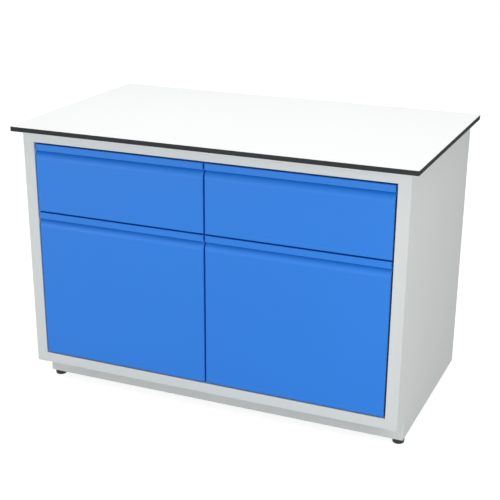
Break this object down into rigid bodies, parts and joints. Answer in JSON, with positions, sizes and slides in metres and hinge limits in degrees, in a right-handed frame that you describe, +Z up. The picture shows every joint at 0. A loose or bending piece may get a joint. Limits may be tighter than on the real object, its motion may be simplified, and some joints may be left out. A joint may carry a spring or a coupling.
{
  "type": "lab drawer bench",
  "caption": "Freestanding steel bench: flat overhanging worktop on a folded-sheet case, shallow pull-out fronts above deep ones with full-width grip lips, set-back plinth, levelling feet.",
  "frame": {"origin": "on the floor under the middle of the worktop", "axes": "+X to the right along the worktop, +Y from the drawer fronts to the back panel, +Z up"},
  "size_m": [1.3, 0.76, 0.895],
  "materials": {
    "worktop_white": "smooth satin laminate",
    "worktop_core": "machined and sealed edge",
    "case_grey": "light grey powder coat, satin",
    "front_blue": "blue powder coat, satin",
    "box_grey": "light grey powder coat, satin",
    "runner_steel": "zinc plated, cold rolled",
    "zinc_steel": "zinc plated",
    "foot_black": "moulded, fine grain"
  },
  "bodies": {
    "bench_case": {"worktop_core": "worktop_core", "worktop_upper_skin": "worktop_white", "worktop_lower_skin": "worktop_white", "worktop_screws": "zinc_steel", "back_panel_screws": "zinc_steel", "side_panel_left": "case_grey", "side_panel_right": "case_grey", "front_top_rail": "case_grey", "rear_top_rail": "case_grey", "front_bottom_rail": "case_grey", "back_panel": "case_grey", "floor_panel": "case_grey", "centre_partition": "case_grey", "runner_posts": "case_grey", "plinth_panel": "case_grey", "rear_plinth_rail": "case_grey", "foot_brackets": "zinc_steel", "foot_lock_nuts": "zinc_steel", "cabinet_rails": "runner_steel"},
    "drawer_upper_left": {"drawer_front_upper_left": "front_blue", "drawer_liner_upper_left": "box_grey", "drawer_tray_upper_left": "box_grey", "drawer_front_wall_upper_left": "box_grey", "drawer_back_wall_upper_left": "box_grey", "drawer_screws_upper_left": "zinc_steel", "drawer_rails_upper_left": "runner_steel"},
    "runner_middle_upper_left": {"middle_rails_upper_left": "runner_steel"},
    "drawer_upper_right": {"drawer_front_upper_right": "front_blue", "drawer_liner_upper_right": "box_grey", "drawer_tray_upper_right": "box_grey", "drawer_front_wall_upper_right": "box_grey", "drawer_back_wall_upper_right": "box_grey", "drawer_screws_upper_right": "zinc_steel", "drawer_rails_upper_right": "runner_steel"},
    "runner_middle_upper_right": {"middle_rails_upper_right": "runner_steel"},
    "drawer_lower_left": {"drawer_front_lower_left": "front_blue", "drawer_liner_lower_left": "box_grey", "drawer_tray_lower_left": "box_grey", "drawer_front_wall_lower_left": "box_grey", "drawer_back_wall_lower_left": "box_grey", "drawer_screws_lower_left": "zinc_steel", "drawer_rails_lower_left": "runner_steel"},
    "runner_middle_lower_left": {"middle_rails_lower_left": "runner_steel"},
    "drawer_lower_right": {"drawer_front_lower_right": "front_blue", "drawer_liner_lower_right": "box_grey", "drawer_tray_lower_right": "box_grey", "drawer_front_wall_lower_right": "box_grey", "drawer_back_wall_lower_right": "box_grey", "drawer_screws_lower_right": "zinc_steel", "drawer_rails_lower_right": "runner_steel"},
    "runner_middle_lower_right": {"middle_rails_lower_right": "runner_steel"},
    "foot_front_left": {"foot_pad_front_left": "foot_black"},
    "foot_screw_front_left": {"foot_stem_front_left": "zinc_steel"},
    "foot_front_right": {"foot_pad_front_right": "foot_black"},
    "foot_screw_front_right": {"foot_stem_front_right": "zinc_steel"},
    "foot_rear_left": {"foot_pad_rear_left": "foot_black"},
    "foot_screw_rear_left": {"foot_stem_rear_left": "zinc_steel"},
    "foot_rear_right": {"foot_pad_rear_right": "foot_black"},
    "foot_screw_rear_right": {"foot_stem_rear_right": "zinc_steel"}
  },
  "joints": [
    {"name": "drawer_slide_upper_left", "type": "slide", "parent": "bench_case", "child": "drawer_upper_left", "axis": [0, -1, 0], "range_m": [0, 0.56]},
    {"name": "runner_slide_upper_left", "type": "slide", "parent": "bench_case", "child": "runner_middle_upper_left", "axis": [0, -1, 0], "range_m": [0, 0.28]},
    {"name": "drawer_slide_upper_right", "type": "slide", "parent": "bench_case", "child": "drawer_upper_right", "axis": [0, -1, 0], "range_m": [0, 0.56]},
    {"name": "runner_slide_upper_right", "type": "slide", "parent": "bench_case", "child": "runner_middle_upper_right", "axis": [0, -1, 0], "range_m": [0, 0.28]},
    {"name": "drawer_slide_lower_left", "type": "slide", "parent": "bench_case", "child": "drawer_lower_left", "axis": [0, -1, 0], "range_m": [0, 0.56]},
    {"name": "runner_slide_lower_left", "type": "slide", "parent": "bench_case", "child": "runner_middle_lower_left", "axis": [0, -1, 0], "range_m": [0, 0.28]},
    {"name": "drawer_slide_lower_right", "type": "slide", "parent": "bench_case", "child": "drawer_lower_right", "axis": [0, -1, 0], "range_m": [0, 0.56]},
    {"name": "runner_slide_lower_right", "type": "slide", "parent": "bench_case", "child": "runner_middle_lower_right", "axis": [0, -1, 0], "range_m": [0, 0.28]},
    {"name": "foot_height_front_left", "type": "slide", "parent": "bench_case", "child": "foot_front_left", "axis": [0, 0, -1], "range_m": [0, 0.02]},
    {"name": "foot_turn_front_left", "type": "hinge", "parent": "foot_front_left", "child": "foot_screw_front_left", "pos_m": [-0.6037, -0.245, 0.01], "axis": [0, 0, -1], "range_deg": [0, 4801]},
    {"name": "foot_height_front_right", "type": "slide", "parent": "bench_case", "child": "foot_front_right", "axis": [0, 0, -1], "range_m": [0, 0.02]},
    {"name": "foot_turn_front_right", "type": "hinge", "parent": "foot_front_right", "child": "foot_screw_front_right", "pos_m": [0.6037, -0.245, 0.01], "axis": [0, 0, -1], "range_deg": [0, 4801]},
    {"name": "foot_height_rear_left", "type": "slide", "parent": "bench_case", "child": "foot_rear_left", "axis": [0, 0, -1], "range_m": [0, 0.02]},
    {"name": "foot_turn_rear_left", "type": "hinge", "parent": "foot_rear_left", "child": "foot_screw_rear_left", "pos_m": [-0.54, 0.3433, 0.01], "axis": [0, 0, -1], "range_deg": [0, 4801]},
    {"name": "foot_height_rear_right", "type": "slide", "parent": "bench_case", "child": "foot_rear_right", "axis": [0, 0, -1], "range_m": [0, 0.02]},
    {"name": "foot_turn_rear_right", "type": "hinge", "parent": "foot_rear_right", "child": "foot_screw_rear_right", "pos_m": [0.54, 0.3433, 0.01], "axis": [0, 0, -1], "range_deg": [0, 4801]}
  ],
  "couplings": [
    {"joint": "runner_slide_upper_left", "follows": "drawer_slide_upper_left", "ratio": 0.5},
    {"joint": "runner_slide_upper_right", "follows": "drawer_slide_upper_right", "ratio": 0.5},
    {"joint": "runner_slide_lower_left", "follows": "drawer_slide_lower_left", "ratio": 0.5},
    {"joint": "runner_slide_lower_right", "follows": "drawer_slide_lower_right", "ratio": 0.5},
    {"joint": "foot_turn_front_left", "follows": "foot_height_front_left", "rad_per_m": 4188.8},
    {"joint": "foot_turn_front_right", "follows": "foot_height_front_right", "rad_per_m": 4188.8},
    {"joint": "foot_turn_rear_left", "follows": "foot_height_rear_left", "rad_per_m": 4188.8},
    {"joint": "foot_turn_rear_right", "follows": "foot_height_rear_right", "rad_per_m": 4188.8}
  ]
}
